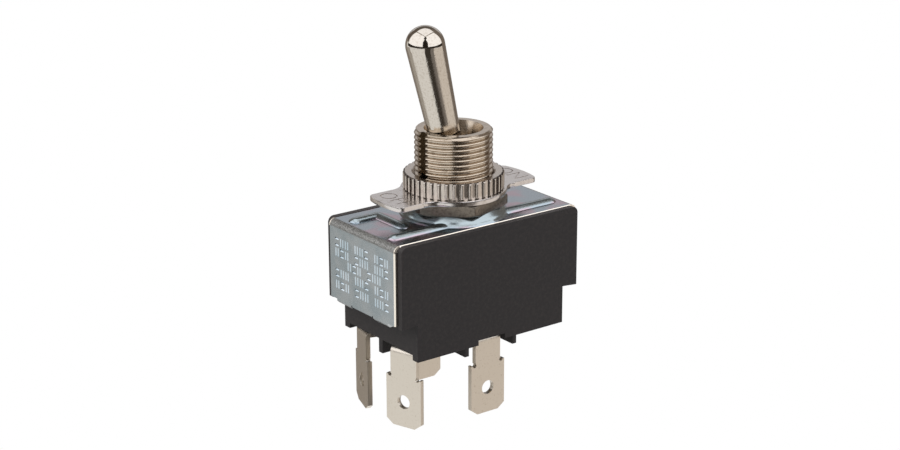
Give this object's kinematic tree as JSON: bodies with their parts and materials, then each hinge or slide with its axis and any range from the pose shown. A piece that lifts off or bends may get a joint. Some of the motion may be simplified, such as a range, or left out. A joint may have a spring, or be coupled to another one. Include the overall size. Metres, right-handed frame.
{
  "type": "panel toggle switch",
  "caption": "Double-pole toggle switch with a bat lever, threaded bushing, knurled nut, marker plate and push-on tabs.",
  "frame": {"origin": "on the bushing's axis in the plane where a panel seats, the upper face of the hex nut", "axes": "+Z along the bushing towards the lever's tip, +X along the case's length in the way the lever throws to ON, +Y across the case"},
  "size_m": [0.0342, 0.0192, 0.0597],
  "materials": {
    "phenolic": "satin moulded",
    "zinc_plated_steel": "zinc plated, faintly iridescent",
    "nickel_bushing": "nickel plated, satin",
    "nickel_hardware": "nickel plated, satin",
    "bright_nickel": "bright nickel plate",
    "steel_pin": "ground",
    "nylon": "moulded",
    "spring_steel": "drawn wire",
    "brass": "stamped",
    "copper": "stamped copper",
    "silver_contact": "silver",
    "tinned_brass": "tin plated, matt"
  },
  "bodies": {
    "case": {"housing": "phenolic", "steel_frame": "zinc_plated_steel", "bushing": "nickel_bushing", "hex_nut": "nickel_hardware", "pivot_pin": "steel_pin", "fulcrum_bracket_near": "brass", "fulcrum_bracket_far": "brass", "fulcrum_rivet_near": "brass", "fulcrum_rivet_far": "brass", "contact_rivet_near": "silver_contact", "contact_rivet_far": "silver_contact", "common_terminal_near": "tinned_brass", "common_terminal_far": "tinned_brass", "line_terminal_near": "tinned_brass", "line_terminal_far": "tinned_brass"},
    "lever": {"lever": "bright_nickel", "crossbar": "nylon", "plunger_spring_near": "spring_steel", "plunger_spring_far": "spring_steel"},
    "plunger_near": {"plunger_near": "brass"},
    "plunger_far": {"plunger_far": "brass"},
    "rocker_near": {"rocker_near": "copper", "moving_contact_near": "silver_contact"},
    "rocker_far": {"rocker_far": "copper", "moving_contact_far": "silver_contact"},
    "marker_plate": {"on_off_plate": "nickel_hardware"},
    "knurled_nut": {"knurled_nut": "nickel_hardware"}
  },
  "joints": [
    {"name": "lever_throw", "type": "hinge", "parent": "case", "child": "lever", "pos_m": [0, 0, 0.00235], "axis": [0, 1, 0], "range_deg": [0, 27.6]},
    {"name": "rocker_near_tilt", "type": "hinge", "parent": "case", "child": "rocker_near", "pos_m": [0, -0.0041, -0.0168], "axis": [0, 1, 0], "range_deg": [-13.8, 0]},
    {"name": "rocker_far_tilt", "type": "hinge", "parent": "case", "child": "rocker_far", "pos_m": [0, 0.0041, -0.0168], "axis": [0, 1, 0], "range_deg": [-13.8, 0]},
    {"name": "plunger_near_press", "type": "slide", "parent": "lever", "child": "plunger_near", "axis": [-0.2385, 0, 0.9711], "range_m": [0, 0.0008], "stiffness_N_per_m": 500, "springref_m": -0.001, "deforming": ["plunger_spring_near"]},
    {"name": "plunger_far_press", "type": "slide", "parent": "lever", "child": "plunger_far", "axis": [-0.2385, 0, 0.9711], "range_m": [0, 0.0008], "stiffness_N_per_m": 500, "springref_m": -0.001, "deforming": ["plunger_spring_far"]},
    {"name": "marker_plate_lift", "type": "slide", "parent": "case", "child": "marker_plate", "axis": [0, 0, 1], "range_m": [0, 0.00556]},
    {"name": "knurled_nut_turn", "type": "hinge", "parent": "marker_plate", "child": "knurled_nut", "pos_m": [0, 0, 0.002], "axis": [0, 0, 1], "range_deg": [0, 2520]}
  ],
  "couplings": [
    {"joint": "rocker_near_tilt", "follows": "lever_throw", "ratio": -0.5},
    {"joint": "rocker_far_tilt", "follows": "lever_throw", "ratio": -0.5},
    {"joint": "marker_plate_lift", "follows": "knurled_nut_turn", "m_per_rad": 0.00012633}
  ]
}
